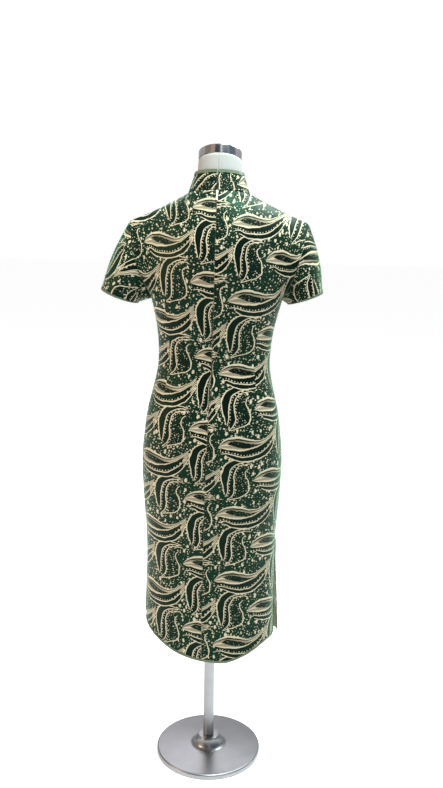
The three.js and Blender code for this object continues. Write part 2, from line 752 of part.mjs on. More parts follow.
const group = new THREE.Group();
group.add(
  panel("back_left", "back", columnsOf.backLeft),
  panel("back_right", "back", columnsOf.backRight),
  panel("front", "front", [...columnsOf.frontLeft, ...columnsOf.frontRight.slice(1)]),
  ...sleeveParts("left", sleeves.left),
  ...sleeveParts("right", sleeves.right),
  ...collarParts("left", 1),
  ...collarParts("right", -1),
  ...hemBindings(),
  ...slitTrims(),
  zip(),
  collarHook(),
  torso(),
  neckCap(),
  ...standParts(),
);

export default group;
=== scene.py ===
import json
import math

import bpy
import numpy as np
from mathutils import Matrix, Vector

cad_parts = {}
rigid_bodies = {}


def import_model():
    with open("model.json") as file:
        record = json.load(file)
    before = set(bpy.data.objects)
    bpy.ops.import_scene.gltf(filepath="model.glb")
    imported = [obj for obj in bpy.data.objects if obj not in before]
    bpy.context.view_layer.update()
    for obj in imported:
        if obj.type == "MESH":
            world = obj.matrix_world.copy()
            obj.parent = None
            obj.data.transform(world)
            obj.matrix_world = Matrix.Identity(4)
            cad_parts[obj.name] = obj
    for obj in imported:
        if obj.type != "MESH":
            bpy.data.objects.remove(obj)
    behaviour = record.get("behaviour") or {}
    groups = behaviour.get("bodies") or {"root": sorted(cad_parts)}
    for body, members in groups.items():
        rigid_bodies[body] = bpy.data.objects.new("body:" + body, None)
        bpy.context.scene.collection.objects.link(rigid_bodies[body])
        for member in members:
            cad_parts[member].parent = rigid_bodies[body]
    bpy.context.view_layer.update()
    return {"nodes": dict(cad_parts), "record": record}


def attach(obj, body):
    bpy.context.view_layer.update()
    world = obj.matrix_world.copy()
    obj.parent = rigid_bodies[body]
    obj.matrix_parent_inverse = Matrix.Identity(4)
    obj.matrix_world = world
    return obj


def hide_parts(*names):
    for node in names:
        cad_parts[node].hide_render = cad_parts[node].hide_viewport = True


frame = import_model()

mm = 0.001
body = "dress_on_form"

# The dress's surface, as in the CAD source: millimetres until a mesh is made.
underarm = 1102.0
slitTop = 572.0
roundness = 2.3
sections = dict(
    z=[270, 440, 560, 620, 685, 750, 805, 855, 905, 950, 990, 1040, 1102],
    half=[154, 150, 149, 153, 157, 158, 153, 146, 134, 125, 124, 129, 143],
    back=[107, 106, 108, 112, 117, 120, 118, 111, 98, 88, 86, 92, 100],
    front=[110, 107, 107, 108, 108, 108, 107, 105, 101, 97, 99, 114, 130],
)
hem = dict(
    t=[-90, -60, -33, -13, 15, 45, 70, 90, 135, 180, 225, 270],
    z=[326, 325, 301, 287, 301, 331, 351, 352, 316, 292, 299, 326],
)
turn = dict(most=3.0, start=980.0, end=420.0)
sway = dict(most=-7.0, start=856.0, end=1200.0)
bust = dict(angle=38.0, z=1108.0, proud=11.0, across=20.0, up=52.0)
neckSeam = dict(half=66.0, back=(55.0, 1334.0), side=(0.0, 1328.0), front=(-64.0, 1276.0))
collarTop = dict(half=51.5, back=(40.0, 1377.0), side=(-6.0, 1371.0), front=(-56.0, 1326.0))
shoulder = dict(x=193.0, y=-4.0, z=1268.0, sag=3.0)
yoke = dict(
    back=dict(centre=22.0, armhole=49.0, bow=6.0),
    front=dict(centre=6.0, armhole=-40.0, bow=0.0),
    rise=(1.0, 1.7),
    lean=(1.35, 2.4),
    neckReach=1.3,
    fullReach=1.4,
    edgeFrom=0.45,
)
sleeves = dict(
    left=dict(side=1, inner=(170, -2, 1091), outer=(250, -6, 1120), printFrom=(-56, -152)),
    right=dict(side=-1, inner=(-161, -2, 1095), outer=(-236, -6, 1120), printFrom=(-96, -165)),
)
sleeveHalfDepth = 54.0
sleeveBulge = 8.0
slit = dict(gape=2.6, flare=7.0, leftShare=0.4, tuck=2.0, reach=16.0)
neckShare = 0.32
neckDip = 1.6
neckDrop = 1.7
collarCorner = dict(reach=18.0, drop=0.5)
seam = 0.3


def clamp(x):
    return np.clip(x, 0.0, 1.0)


def smooth(x):
    return clamp(x) ** 2 * (3 - 2 * clamp(x))


def bell(x, width):
    return np.exp(-((x / width) ** 2))


def mix(a, b, w):
    return a + (b - a) * w


def rad(degrees):
    return np.radians(degrees)


def tableAt(keys, values, place):
    # A smooth curve through a table's rows.
    keys, values = np.array(keys, float), np.array(values, float)
    place = np.asarray(place, float)
    last = len(keys) - 1
    i = np.clip(np.searchsorted(keys, place, side="right") - 1, 0, last - 1)
    before, after = np.maximum(i - 1, 0), np.minimum(i + 2, last)
    span = keys[i + 1] - keys[i]
    w = clamp((place - keys[i]) / span)
    slopeA = (values[i + 1] - values[before]) / (keys[i + 1] - keys[before]) * span
    slopeB = (values[after] - values[i]) / (keys[after] - keys[i]) * span
    return (
        values[i] * (1 + 2 * w) * (1 - w) ** 2
        + slopeA * w * (1 - w) ** 2
        + values[i + 1] * w * w * (3 - 2 * w)
        + slopeB * w * w * (w - 1)
    )


def hemAt(t):
    return tableAt(hem["t"], hem["z"], np.where(t > 270, t - 360, t))


def turnAt(z):
    return turn["most"] * smooth((turn["start"] - z) / (turn["start"] - turn["end"]))


def swayAt(z):
    return sway["most"] * smooth((z - sway["start"]) / (sway["end"] - sway["start"]))


def ringPoint(t, z):
    half = tableAt(sections["z"], sections["half"], z)
    across, along = np.sin(rad(t)), np.cos(rad(t))
    back = tableAt(sections["z"], sections["back"], z)
    front = tableAt(sections["z"], sections["front"], z)
    offFront = np.abs(np.mod(t + 360, 360) - 180)
    cup = bell(offFront - bust["angle"], bust["across"]) * bell(z - bust["z"], bust["up"]) * bust["proud"]
    depth = np.where(along > 0, back, front + cup)
    power = 2 / roundness
    x = half * np.sign(across) * np.abs(across) ** power
    y = depth * np.sign(along) * np.abs(along) ** power
    return np.stack([x, y, z + 0 * x], -1)


def neckRing(ring, angle, inset=0.0):
    across, along = np.sin(rad(angle)), np.cos(rad(angle))
    endY = np.where(along > 0, ring["back"][0], ring["front"][0])
    endZ = np.where(along > 0, ring["back"][1], ring["front"][1])
    sideY, sideZ = ring["side"]
    y = sideY + (endY - sideY - np.sign(along) * inset) * np.abs(along)
    z = sideZ + (endZ - sideZ) * np.abs(along) ** neckDip - neckDrop * inset
    return np.stack([(ring["half"] - inset) * across, y, z], -1)


def topEdge(isBack, u):
    angle = np.minimum(u / neckShare, 1) * 90
    onNeck = neckRing(neckSeam, np.where(isBack, angle, 180 - angle))
    w = (u - neckShare) / (1 - neckShare)
    sideY, sideZ = neckSeam["side"]
    x = mix(neckSeam["half"], shoulder["x"], w)
    y = mix(sideY, shoulder["y"], w)
    z = mix(sideZ, shoulder["z"], w) - shoulder["sag"] * np.sin(math.pi * w)
    return np.where((u <= neckShare)[..., None], onNeck, np.stack([x, y, z], -1))


def armhole(isBack, v):
    under = ringPoint(np.full_like(v, 90.0), underarm + 0 * v)
    tip = topEdge(isBack, np.ones_like(v))
    out = np.sin(math.pi * v)
    bow = np.where(isBack, yoke["back"]["bow"], yoke["front"]["bow"])
    deep = np.where(isBack, yoke["back"]["armhole"], yoke["front"]["armhole"])
    place = mix(under, tip, v[..., None])
    return place + np.stack([bow * out, deep * out, 0 * out], -1)


def yokePoint(isBack, u, v):
    def column(c):
        low = ringPoint(np.where(isBack, c * 90, 180 - c * 90), underarm + 0 * c)
        top = topEdge(isBack, c)
        overShoulder = smooth(c / (yoke["neckReach"] * neckShare))
        rise = 1 - (1 - v) ** mix(*yoke["rise"], overShoulder)
        lean = v ** mix(*yoke["lean"], overShoulder)
        centre = np.where(isBack, yoke["back"]["centre"], -yoke["front"]["centre"])
        full = centre * (1 - smooth(c * yoke["fullReach"])) * np.sin(math.pi * v)
        share = np.stack([v, lean, rise], -1)
        return mix(low, top, share) + np.stack([0 * full, full, 0 * full], -1)

    toEdge = clamp((u - yoke["edgeFrom"]) / (1 - yoke["edgeFrom"])) ** 2
    miss = armhole(isBack, v) - column(np.ones_like(u))
    return column(u) + miss * toEdge[..., None]


def bodyPoint(t, h, part):
    t, h = np.broadcast_arrays(np.asarray(t, float), np.asarray(h, float))
    side = np.where(t <= 180, 1, -1)
    isBack = (t <= 90) | (t > 270)
    quarter = np.select([t <= 90, t <= 180, t <= 270], [t, 180 - t, t - 180], 360 - t) / 90
    above = yokePoint(isBack, quarter, np.maximum(-h, 0))
    above[..., 0] = above[..., 0] * side + swayAt(above[..., 2])
    z = mix(underarm, hemAt(t), np.maximum(h, 0))
    opened = smooth((slitTop - z) / (slitTop - hem["z"][0]))
    nearSlit = opened * bell(np.minimum(np.abs(t - 90), np.abs(t - 270)), slit["reach"])
    away = slit["gape"] * np.where(t < 180, -1, 1) if part == "back" else 0
    below = ringPoint(t + turnAt(z) + away * nearSlit, z)
    flare = slit["flare"] * np.where(t > 180, 1, slit["leftShare"])
    out = -slit["tuck"] if part == "back" else flare
    grow = 1 + out * nearSlit / np.hypot(below[..., 0], below[..., 1])
    below[..., 0] = below[..., 0] * grow + swayAt(z)
    below[..., 1] *= grow
    return np.where((h < 0)[..., None], above, below)


def sleevePoint(limb, s, k):
    s, k = np.broadcast_arrays(np.asarray(s, float), np.asarray(k, float))
    turnRound = s - np.floor(s)
    isBack = turnRound <= 0.5
    start = armhole(isBack, np.where(isBack, 2 * turnRound, 2 - 2 * turnRound))
    start[..., 0] = start[..., 0] * limb["side"] + swayAt(start[..., 2])
    inner, outer = np.array(limb["inner"], float), np.array(limb["outer"], float)
    middle = (inner + outer) / 2
    around = 2 * math.pi * turnRound[..., None]
    deep = np.array([0, sleeveHalfDepth, 0])
    end = middle + (inner - middle) * np.cos(around) + deep * np.sin(around)
    way = end - start
    start = start + way / np.linalg.norm(way, axis=-1, keepdims=True) * 2 * seam
    place = mix(start, end, k[..., None])
    out = end - middle
    out[..., 2] = 0
    out /= np.linalg.norm(out, axis=-1, keepdims=True)
    swell = sleeveBulge * np.sin(math.pi * k) * np.sin(math.pi * turnRound)
    return place + out * swell[..., None]


def collarPoint(t, k):
    t, k = np.broadcast_arrays(np.asarray(t, float), np.asarray(k, float))
    corner = clamp(1 - np.abs(t - 180) / collarCorner["reach"])
    top = 1 - collarCorner["drop"] * (1 - np.sqrt(1 - corner**2))
    place = mix(neckRing(neckSeam, t), neckRing(collarTop, t), (k * top)[..., None])
    place[..., 0] += swayAt(place[..., 2])
    return place


def gridNormals(place):
    alongU = np.gradient(place, axis=0)
    alongV = np.gradient(place, axis=1)
    out = np.cross(alongU, alongV)
    return out / np.linalg.norm(out, axis=-1, keepdims=True)


def addMesh(name, points, faces, materials):
    mesh = bpy.data.meshes.new(name)
    mesh.from_pydata(points, [], faces)
    for material in materials:
        mesh.materials.append(material)
    piece = bpy.data.objects.new(name, mesh)
    bpy.context.collection.objects.link(piece)
    return piece


def shell(name, place, flat, thick, materials, flip=1, shift=0.0):
    # A closed thin shell on a grid of points, with one material outside and maybe another inside.
    # flat holds each point's place on the flat cloth, and shift moves each face's place on it.
    inner = place - gridNormals(place) * flip * thick
    columns, rows = place.shape[0] - 1, place.shape[1] - 1
    count = (columns + 1) * (rows + 1)
    number = np.arange(count).reshape(columns + 1, rows + 1)
    a, b = number[:-1, :-1], number[1:, :-1]
    c, d = number[1:, 1:], number[:-1, 1:]
    outerFaces = np.stack([a, b, c, d], -1).reshape(-1, 4)[:, ::flip]
    innerFaces = outerFaces[:, ::-1] + count
    rim = np.concatenate([number[:, 0], number[-1, 1:], number[::-1, -1][1:], number[0, ::-1][1:]])
    pairs = np.stack([rim[:-1], rim[1:]], -1)
    first, second = pairs[:, 0], pairs[:, 1]
    rimFaces = np.stack([second, first, first + count, second + count], -1)[:, ::flip]
    faces = np.concatenate([outerFaces, innerFaces, rimFaces])
    points = np.concatenate([place.reshape(-1, 3), inner.reshape(-1, 3)]) * mm
    piece = addMesh(name, points.tolist(), faces.tolist(), materials)
    mesh = piece.data
    uv = np.concatenate([flat.reshape(-1, 2)] * 2)[faces]
    one = columns * rows
    perFace = np.broadcast_to(shift, (columns, rows, 2)).reshape(-1, 1, 2)
    uv[:one] += perFace
    uv[one : 2 * one] += perFace
    layer = mesh.uv_layers.new(name="flatCloth")
    layer.data.foreach_set("uv", uv.reshape(-1).astype(np.float32))
    index = np.zeros(len(faces), int)
    index[one : 2 * one] = len(materials) - 1
    mesh.polygons.foreach_set("material_index", index)
    mesh.polygons.foreach_set("use_smooth", np.ones(len(faces), bool))
    mesh.validate()
    mesh.update()
    return piece


def flatPlace(place, acrossFrom=0, roundShare=1.0):
    # Each point's place on the flat cloth: its distance round the body from one column, seen from
    # outside with right as plus, and the level that it has on that column. Where the cloth is pulled
    # flatter than the body under it, a step's depth counts only for its round share.
    step = np.diff(place, axis=0)
    step[..., 1] *= np.broadcast_to(roundShare, len(step))[:, None]
    stepU = np.linalg.norm(step, axis=-1)
    u = np.concatenate([np.zeros((1, place.shape[1])), np.cumsum(stepU, axis=0)])
    line = place[acrossFrom]
    down = np.concatenate([[0], np.cumsum(np.linalg.norm(np.diff(line, axis=0), axis=-1))])
    order = np.argsort(line[:, 2])
    v = np.interp(place[..., 2], line[order, 2], -down[order])
    return np.stack([u[acrossFrom] - u, v], -1)


print("surface ready")


def newMaterial(name, colour, roughness=0.5, metallic=0.0):
    material = bpy.data.materials.new(name)
    material.use_nodes = True
    shader = material.node_tree.nodes["Principled BSDF"]
    shader.inputs["Base Color"].default_value = (*colour, 1)
    shader.inputs["Roughness"].default_value = roughness
    shader.inputs["Metallic"].default_value = metallic
    return material


class Web:
    # A short way of writing shader nodes.
    def __init__(self, tree):
        self.tree = tree
        self.uneven = 1.0  # what the size of beads is multiplied by

    def node(self, kind, **settings):
        made = self.tree.nodes.new(kind)
        for key, value in settings.items():
            setattr(made, key, value)
        return made

    def put(self, socket, value):
        if isinstance(value, bpy.types.NodeSocket):
            self.tree.links.new(value, socket)
        else:
            socket.default_value = value

    def math(self, operation, a, b=0.0, c=0.0):
        made = self.node("ShaderNodeMath", operation=operation)
        for socket, value in zip(made.inputs, (a, b, c)):
            self.put(socket, value)
        return made.outputs[0]

    def noise(self, place, scale, detail=2.0):
        made = self.node("ShaderNodeTexNoise")
        self.put(made.inputs["Vector"], place)
        made.inputs["Scale"].default_value = scale
        made.inputs["Detail"].default_value = detail
        return made.outputs

    def axes(self, vector):
        made = self.node("ShaderNodeSeparateXYZ")
        self.put(made.inputs[0], vector)
        return made.outputs

    def bump(self, shader, height, strength, distance):
        made = self.node("ShaderNodeBump")
        made.inputs["Strength"].default_value = strength
        made.inputs["Distance"].default_value = distance
        self.put(made.inputs["Height"], height)
        self.put(shader.inputs["Normal"], made.outputs[0])

    def nearer(self, value, middle, reach):
        # One where the value is less than its reach from the middle.
        return self.math("LESS_THAN", self.math("ABSOLUTE", self.math("SUBTRACT", value, middle)), reach)

    def blend(self, share, a, b):
        made = self.node("ShaderNodeMix", data_type="RGBA")
        self.put(made.inputs[0], share)
        self.put(made.inputs[6], a)
        self.put(made.inputs[7], b)
        return made.outputs[2]

    def curve(self, value, points):
        made = self.node("ShaderNodeFloatCurve")
        line = made.mapping.curves[0]
        made.mapping.use_clip = False
        line.points[0].location = points[0]
        line.points[1].location = points[-1]
        for place in points[1:-1]:
            line.points.new(*place)
        made.mapping.update()
        self.put(made.inputs["Value"], value)
        return made.outputs[0]

    def bands(self, value, stops):
        made = self.node("ShaderNodeValToRGB")
        elements = made.color_ramp.elements
        for place, colour in stops[1:-1]:
            elements.new(place)
        for element, (place, colour) in zip(elements, stops):
            element.position = place
            element.color = (*colour, 1)
        self.put(made.inputs[0], value)
        return made.outputs[0]


# The print on the flat cloth, in millimetres, drawn for this dress. Long leaves and upright scrolls
# each lie in two ranks half a repeat apart, stepping sideways by their own step. No motif reaches
# further than "under" below the level of its own rank.
cloth = dict(
    ground=(0.0032, 0.013, 0.0078),
    shade=(0.0015, 0.002, 0.0018),
    gold=(0.53, 0.46, 0.335),
    tan=(0.24, 0.2, 0.145),
    sheen=(0.2, 1.0, 0.55),
    gloss=(0.22, 0.7, 0.42),
    wide=204.0,
    high=156.0,
    under=36.0,
    line=1.22,
    thinEnd=0.6,
    wander=dict(scale=0.06, reach=5.0),
    uneven=dict(scale=0.22, gain=3.4, least=-0.7, shiver=6.0),
    weave=dict(scale=0.55, strength=0.12, depth=0.0004),
)
beads = dict(step=6.5, size=1.15, edgeSize=1.3)
# Dots: how close together, the least and greatest radius, how stretched and turned they are.
dotKinds = dict(
    fine=dict(scale=0.14, least=-0.02, most=0.27, stretch=(1.0, 1.3, 1), turned=0.3),
    large=dict(scale=0.085, least=-0.1, most=0.27, stretch=(1.0, 0.62, 1), turned=0.9),
    specks=dict(scale=0.2, least=-0.06, most=0.25, stretch=(1.0, 1.0, 1), turned=1.1),
)
scatter = 0.8  # how far the dots stray from an even grid
longLeaf = dict(
    step=78.0,
    lean=0.0,
    beadsAside=3.6,
    hatch=dict(start=121.0, step=4.6),
    stripes=dict(gold=(0, 0.1, 0.4, 0.5, 0.88, 1), tan=(0.16, 0.34, 0.56, 0.7), shade=(0.76, 0.82)),
    back=[(0, 0), (8, 12), (22, 20), (41, 23), (60, 18), (76, 13), (92, 12), (108, 18), (122, 27), (133, 36)],
    belly=[(0, 0), (8, -3), (19, -5), (36, -8), (54, -9), (73, -6), (92, 0), (108, 9), (122, 20), (133, 36)],
    eyeTop=[(19, 7), (30, 13), (44, 12), (60, 8), (76, 4), (96, 4)],
    eyeFoot=[(19, 7), (36, 1), (54, -3), (70, -4), (84, 0), (96, 4)],
    rib=[(6, -15), (19, -13), (30, -17), (46, -21), (65, -22), (84, -20), (100, -12), (114, 0), (126, 14)],
    lowRib=[(19, -20), (36, -28), (54, -32), (76, -32), (95, -27), (111, -18), (122, -5), (131, 12)],
)
scroll = dict(
    step=126.0,
    right=8.0,
    down=27.0,
    lean=-115.0,
    innerShade=0.55,
    beadsAside=dict(outer=-1.8, second=3.4, third=3.6),
    outer=[(64, -5), (53, -3), (39, 0), (25, -1), (12, -8), (4, -19), (0, -33), (1, -49), (5, -66), (9, -80)],
    second=[(62, -7), (46, -7), (32, -12), (21, -21), (17, -35), (15, -52), (15, -68), (12, -81)],
    third=[(65, -12), (51, -12), (39, -15), (31, -24), (27, -38), (28, -54), (29, -68), (25, -82), (15, -92)],
    drop=[(59, -22), (53, -28), (53, -40), (59, -52), (61, -66), (58, -78), (46, -85), (32, -89), (15, -93)],
)
lineCurve = dict(steps=21, heightScale=100.0, steepScale=10.0)  # curve nodes hold small numbers only


class Spot:
    # Where a point lies in one motif's own directions: along its length and off to its side.
    def __init__(self, web, x, y, lean):
        self.web = web
        self.cos, self.sin = math.cos(math.radians(lean)), math.sin(math.radians(lean))
        self.along = web.math("ADD", web.math("MULTIPLY", x, self.cos), web.math("MULTIPLY", y, self.sin))
        self.off = web.math("SUBTRACT", web.math("MULTIPLY", y, self.cos), web.math("MULTIPLY", x, self.sin))

    def border(self, points):
        # The side distance from a smooth line through the points, its steepness and its share of length.
        along = [x * self.cos + y * self.sin for x, y in points]
        off = [y * self.cos - x * self.sin for x, y in points]
        places = np.linspace(along[0], along[-1], lineCurve["steps"])
        line = tableAt(along, off, places)
        stretch = np.hypot(1, np.gradient(line, places))
        web = self.web
        share = web.math("DIVIDE", web.math("SUBTRACT", self.along, along[0]), along[-1] - along[0])
        steps = np.linspace(0, 1, lineCurve["steps"])
        height = web.curve(share, list(zip(steps, line / lineCurve["heightScale"])))
        steep = web.curve(share, list(zip(steps, stretch / lineCurve["steepScale"])))
        return dict(
            away=web.math("SUBTRACT", self.off, web.math("MULTIPLY", height, lineCurve["heightScale"])),
            steep=web.math("MULTIPLY", steep, lineCurve["steepScale"]),
            share=share,
            within=web.nearer(share, 0.5, 0.5),
        )

    def line(self, border):
        # A drawn line that thins towards its ends.
        web = self.web
        bow = web.math("SINE", web.math("MULTIPLY", border["share"], math.pi))
        swell = web.math("MULTIPLY_ADD", bow, 1 - cloth["thinEnd"], cloth["thinEnd"])
        reach = web.math("MULTIPLY", web.math("MULTIPLY", swell, border["steep"]), cloth["line"])
        return web.math("MULTIPLY", web.nearer(border["away"], 0.0, reach), border["within"])

    def between(self, upper, lower):
        # Inside the band between two lines, and how far across it.
        web = self.web
        width = web.math("SUBTRACT", lower["away"], upper["away"])
        across = web.math("DIVIDE", lower["away"], width)
        within = web.math("MULTIPLY", upper["within"], lower["within"])
        return web.math("MULTIPLY", web.nearer(across, 0.5, 0.5), within), across

    def beadRow(self, border, aside, size):
        # A row of small beads beside a line.
        web = self.web
        step = beads["step"]
        alongStep = web.math("SUBTRACT", web.math("FLOORED_MODULO", self.along, step), step / 2)
        aside = web.math("DIVIDE", web.math("SUBTRACT", border["away"], aside), border["steep"])
        square = web.math("ADD", web.math("POWER", alongStep, 2.0), web.math("POWER", aside, 2.0))
        reach = web.math("MULTIPLY", web.uneven, size)
        return web.math("MULTIPLY", web.math("LESS_THAN", web.math("SQRT", square), reach), border["within"])


def dots(web, place, kind):
    # Dots of uneven size all over the ground.
    mapping = web.node("ShaderNodeMapping")
    web.put(mapping.inputs["Vector"], place)
    mapping.inputs["Rotation"].default_value = (0, 0, kind["turned"])
    mapping.inputs["Scale"].default_value = kind["stretch"]
    cells = web.node("ShaderNodeTexVoronoi", voronoi_dimensions="2D")
    web.put(cells.inputs["Vector"], mapping.outputs[0])
    cells.inputs["Scale"].default_value = kind["scale"]
    cells.inputs["Randomness"].default_value = scatter
    size = web.axes(cells.outputs["Color"])[0]
    radius = web.math("MULTIPLY_ADD", size, kind["most"] - kind["least"], kind["least"])
    return web.math("LESS_THAN", cells.outputs["Distance"], radius)


def drawScrolls(web, colour, u, v, inks, specks):
    # The upright scrolls, in two columns.
    high, under = cloth["high"], cloth["under"]
    across = web.math("FLOORED_MODULO", u, cloth["wide"])
    column = web.math("GREATER_THAN", across, scroll["step"])
    back = web.math("MULTIPLY", column, scroll["step"])
    x = web.math("SUBTRACT", web.math("SUBTRACT", across, scroll["right"]), back)
    raised = web.math("ADD", v, scroll["down"] - under)
    raised = web.math("SUBTRACT", raised, web.math("MULTIPLY", column, high / 2))
    y = web.math("SUBTRACT", web.math("FLOORED_MODULO", raised, high), high - under)
    spot = Spot(web, x, y, scroll["lean"])
    strands = {key: spot.border(scroll[key]) for key in ("outer", "second", "third", "drop")}
    inner = tuple(mix(np.array(inks["ground"]), np.array(inks["shade"]), scroll["innerShade"]))
    fills = [inks["shade"], inks["shade"], web.blend(specks, inner, inks["gold"])]
    order = list(strands.values())
    for left, right, fill in zip(order, order[1:], fills):
        colour = web.blend(spot.between(right, left)[0], colour, fill)
    sizes = dict(second=beads["size"], third=beads["size"], outer=beads["edgeSize"])
    for key, size in sizes.items():
        row = spot.beadRow(strands[key], scroll["beadsAside"][key], size)
        colour = web.blend(row, colour, inks["gold"])
    for strand in order:
        colour = web.blend(spot.line(strand), colour, inks["gold"])
    return colour


def drawLeaves(web, colour, u, v, inks, specks):
    # The long leaves, in two ranks.
    rankHigh = cloth["high"] / 2
    rank = web.math("FLOOR", web.math("DIVIDE", web.math("ADD", v, cloth["under"]), rankHigh))
    y = web.math("SUBTRACT", v, web.math("MULTIPLY", rank, rankHigh))
    odd = web.math("FLOORED_MODULO", rank, 2.0)
    shifted = web.math("SUBTRACT", u, web.math("MULTIPLY", odd, longLeaf["step"]))
    spot = Spot(web, web.math("FLOORED_MODULO", shifted, cloth["wide"]), y, longLeaf["lean"])
    lines = {key: spot.border(value) for key, value in longLeaf.items() if isinstance(value, list)}
    for upper, lower in (("belly", "rib"), ("rib", "lowRib")):
        colour = web.blend(spot.between(lines[upper], lines[lower])[0], colour, inks["shade"])
    row = spot.beadRow(lines["rib"], longLeaf["beadsAside"], beads["size"])
    colour = web.blend(row, colour, inks["gold"])
    for key in ("rib", "lowRib"):
        colour = web.blend(spot.line(lines[key]), colour, inks["gold"])
    band, across = spot.between(lines["back"], lines["belly"])
    stops = [(stop, cloth[key]) for key, places in longLeaf["stripes"].items() for stop in places]
    colour = web.blend(band, colour, web.bands(across, sorted(stops)))
    eye = spot.between(lines["eyeTop"], lines["eyeFoot"])[0]
    colour = web.blend(eye, colour, web.blend(specks, inks["shade"], inks["tan"]))
    # The leaf's tip is hatched.
    hatch = longLeaf["hatch"]
    slanting = web.math("FLOORED_MODULO", web.math("ADD", spot.along, spot.off), hatch["step"])
    hatched = web.math("LESS_THAN", slanting, hatch["step"] / 2)
    band = spot.between(lines["belly"], lines["lowRib"])[0]
    tip = web.math("MULTIPLY", band, web.math("GREATER_THAN", spot.along, hatch["start"]))
    return web.blend(web.math("MULTIPLY", tip, hatched), colour, inks["gold"])


def printedCloth():
    material = newMaterial("printed_cloth", cloth["ground"], roughness=0.45)
    web = Web(material.node_tree)
    shader = material.node_tree.nodes["Principled BSDF"]
    shader.inputs["Specular IOR Level"].default_value = 0.2
    shader.inputs["Specular Tint"].default_value = (*cloth["gloss"], 1)
    shader.inputs["Sheen Weight"].default_value = 0.2
    shader.inputs["Sheen Roughness"].default_value = 0.35
    shader.inputs["Sheen Tint"].default_value = (*cloth["sheen"], 1)
    place = web.node("ShaderNodeUVMap", uv_map="flatCloth").outputs[0]
    inks = {key: (*cloth[key], 1) for key in ("ground", "shade", "gold", "tan")}
    # A little wander, so that no two repeats are drawn quite alike.
    wander = web.axes(web.noise(place, cloth["wander"]["scale"])["Color"])
    reach = cloth["wander"]["reach"]
    away = [web.math("MULTIPLY", web.math("SUBTRACT", axis, 0.5), reach) for axis in wander[:2]]
    u, v = (web.math("ADD", axis, shift) for axis, shift in zip(web.axes(place), away))
    # Beads and dots are uneven in size and outline.
    uneven = cloth["uneven"]
    patches = web.noise(place, uneven["scale"])
    web.uneven = web.math("MULTIPLY_ADD", patches["Fac"], uneven["gain"], uneven["least"])
    shiver = web.node("ShaderNodeVectorMath", operation="MULTIPLY_ADD")
    web.put(shiver.inputs[0], patches["Color"])
    shiver.inputs[1].default_value = (uneven["shiver"], uneven["shiver"], 0)
    web.put(shiver.inputs[2], place)
    fine, large, specks = (dots(web, shiver.outputs[0], kind) for kind in dotKinds.values())
    colour = web.blend(web.math("MAXIMUM", fine, large), inks["ground"], inks["gold"])
    colour = drawScrolls(web, colour, u, v, inks, specks)
    colour = drawLeaves(web, colour, u, v, inks, specks)
    web.put(shader.inputs["Base Color"], colour)
    # The weave, as a fine bump.
    weave = web.node("ShaderNodeTexWave", bands_direction="DIAGONAL")
    web.put(weave.inputs["Vector"], place)
    weave.inputs["Scale"].default_value = cloth["weave"]["scale"]
    web.bump(shader, weave.outputs["Fac"], cloth["weave"]["strength"], cloth["weave"]["depth"])
    return material


# The plain finishes: how much each varies, the size of its threads or grain in millimetres, and its bump.
plain = dict(
    binding_satin=dict(colour=(0.085, 0.115, 0.07), rough=0.4, vary=0.3, grain=0.7, bump=0.25, threads=True),
    facing_cloth=dict(colour=(0.62, 0.47, 0.31), rough=0.7, vary=0.25, grain=1.0, bump=0.3, threads=True),
    form_cover=dict(colour=(0.34, 0.34, 0.335), rough=0.85, vary=0.1, grain=1.1, bump=0.35, threads=True),
    cloth_reverse=dict(colour=(0.2, 0.2, 0.13), rough=0.8, vary=0.6, grain=0.9, bump=0.3, threads=True),
    polished_steel=dict(colour=(0.62, 0.62, 0.65), rough=0.16, vary=0.05, grain=4.0, bump=0.004, metal=1.0),
    stand_steel=dict(colour=(0.3, 0.3, 0.32), rough=0.34, vary=0.15, grain=3.0, bump=0.03, metal=1.0),
    zip_enamel=dict(colour=(0.83, 0.72, 0.66), rough=0.3, vary=0.12, grain=1.5, bump=0.04),
)
blotches = dict(scale=28.0, detail=5.0, inGloss=0.3)
threads = dict(wander=0.6, depth=0.0003)


def plainMaterial(name, look):
    material = newMaterial(name, look["colour"], look["rough"], look.get("metal", 0.0))
    web = Web(material.node_tree)
    shader = material.node_tree.nodes["Principled BSDF"]
    place = web.node("ShaderNodeTexCoord").outputs["Object"]
    # Slow blotches in the colour and the gloss.
    patches = web.noise(place, blotches["scale"], blotches["detail"])["Fac"]
    colour, vary = np.array(look["colour"]), look["vary"]
    low = (*(colour * (1 - vary)), 1)
    high = (*np.minimum(colour * (1 + vary), 1), 1)
    web.put(shader.inputs["Base Color"], web.blend(patches, low, high))
    swing = blotches["inGloss"] * vary
    rough = web.math("MULTIPLY_ADD", patches, swing, look["rough"] - swing / 2)
    web.put(shader.inputs["Roughness"], rough)
    # Crossed threads on cloth, fine grain on metal.
    if look.get("threads"):
        heights = []
        for direction in ("X", "Z"):
            wave = web.node("ShaderNodeTexWave", bands_direction=direction)
            web.put(wave.inputs["Vector"], place)
            wave.inputs["Scale"].default_value = 1 / (look["grain"] * mm) / math.tau
            wave.inputs["Distortion"].default_value = threads["wander"]
            heights.append(wave.outputs["Fac"])
        height = web.math("MULTIPLY", *heights)
    else:
        height = web.noise(place, 1 / (look["grain"] * mm))["Fac"]
    web.bump(shader, height, look["bump"], threads["depth"])
    return material


finishes = dict(printed_cloth=printedCloth())
for name, look in plain.items():
    finishes[name] = plainMaterial(name, look)
clothSides = [finishes["printed_cloth"], finishes["cloth_reverse"]]
print("materials ready")

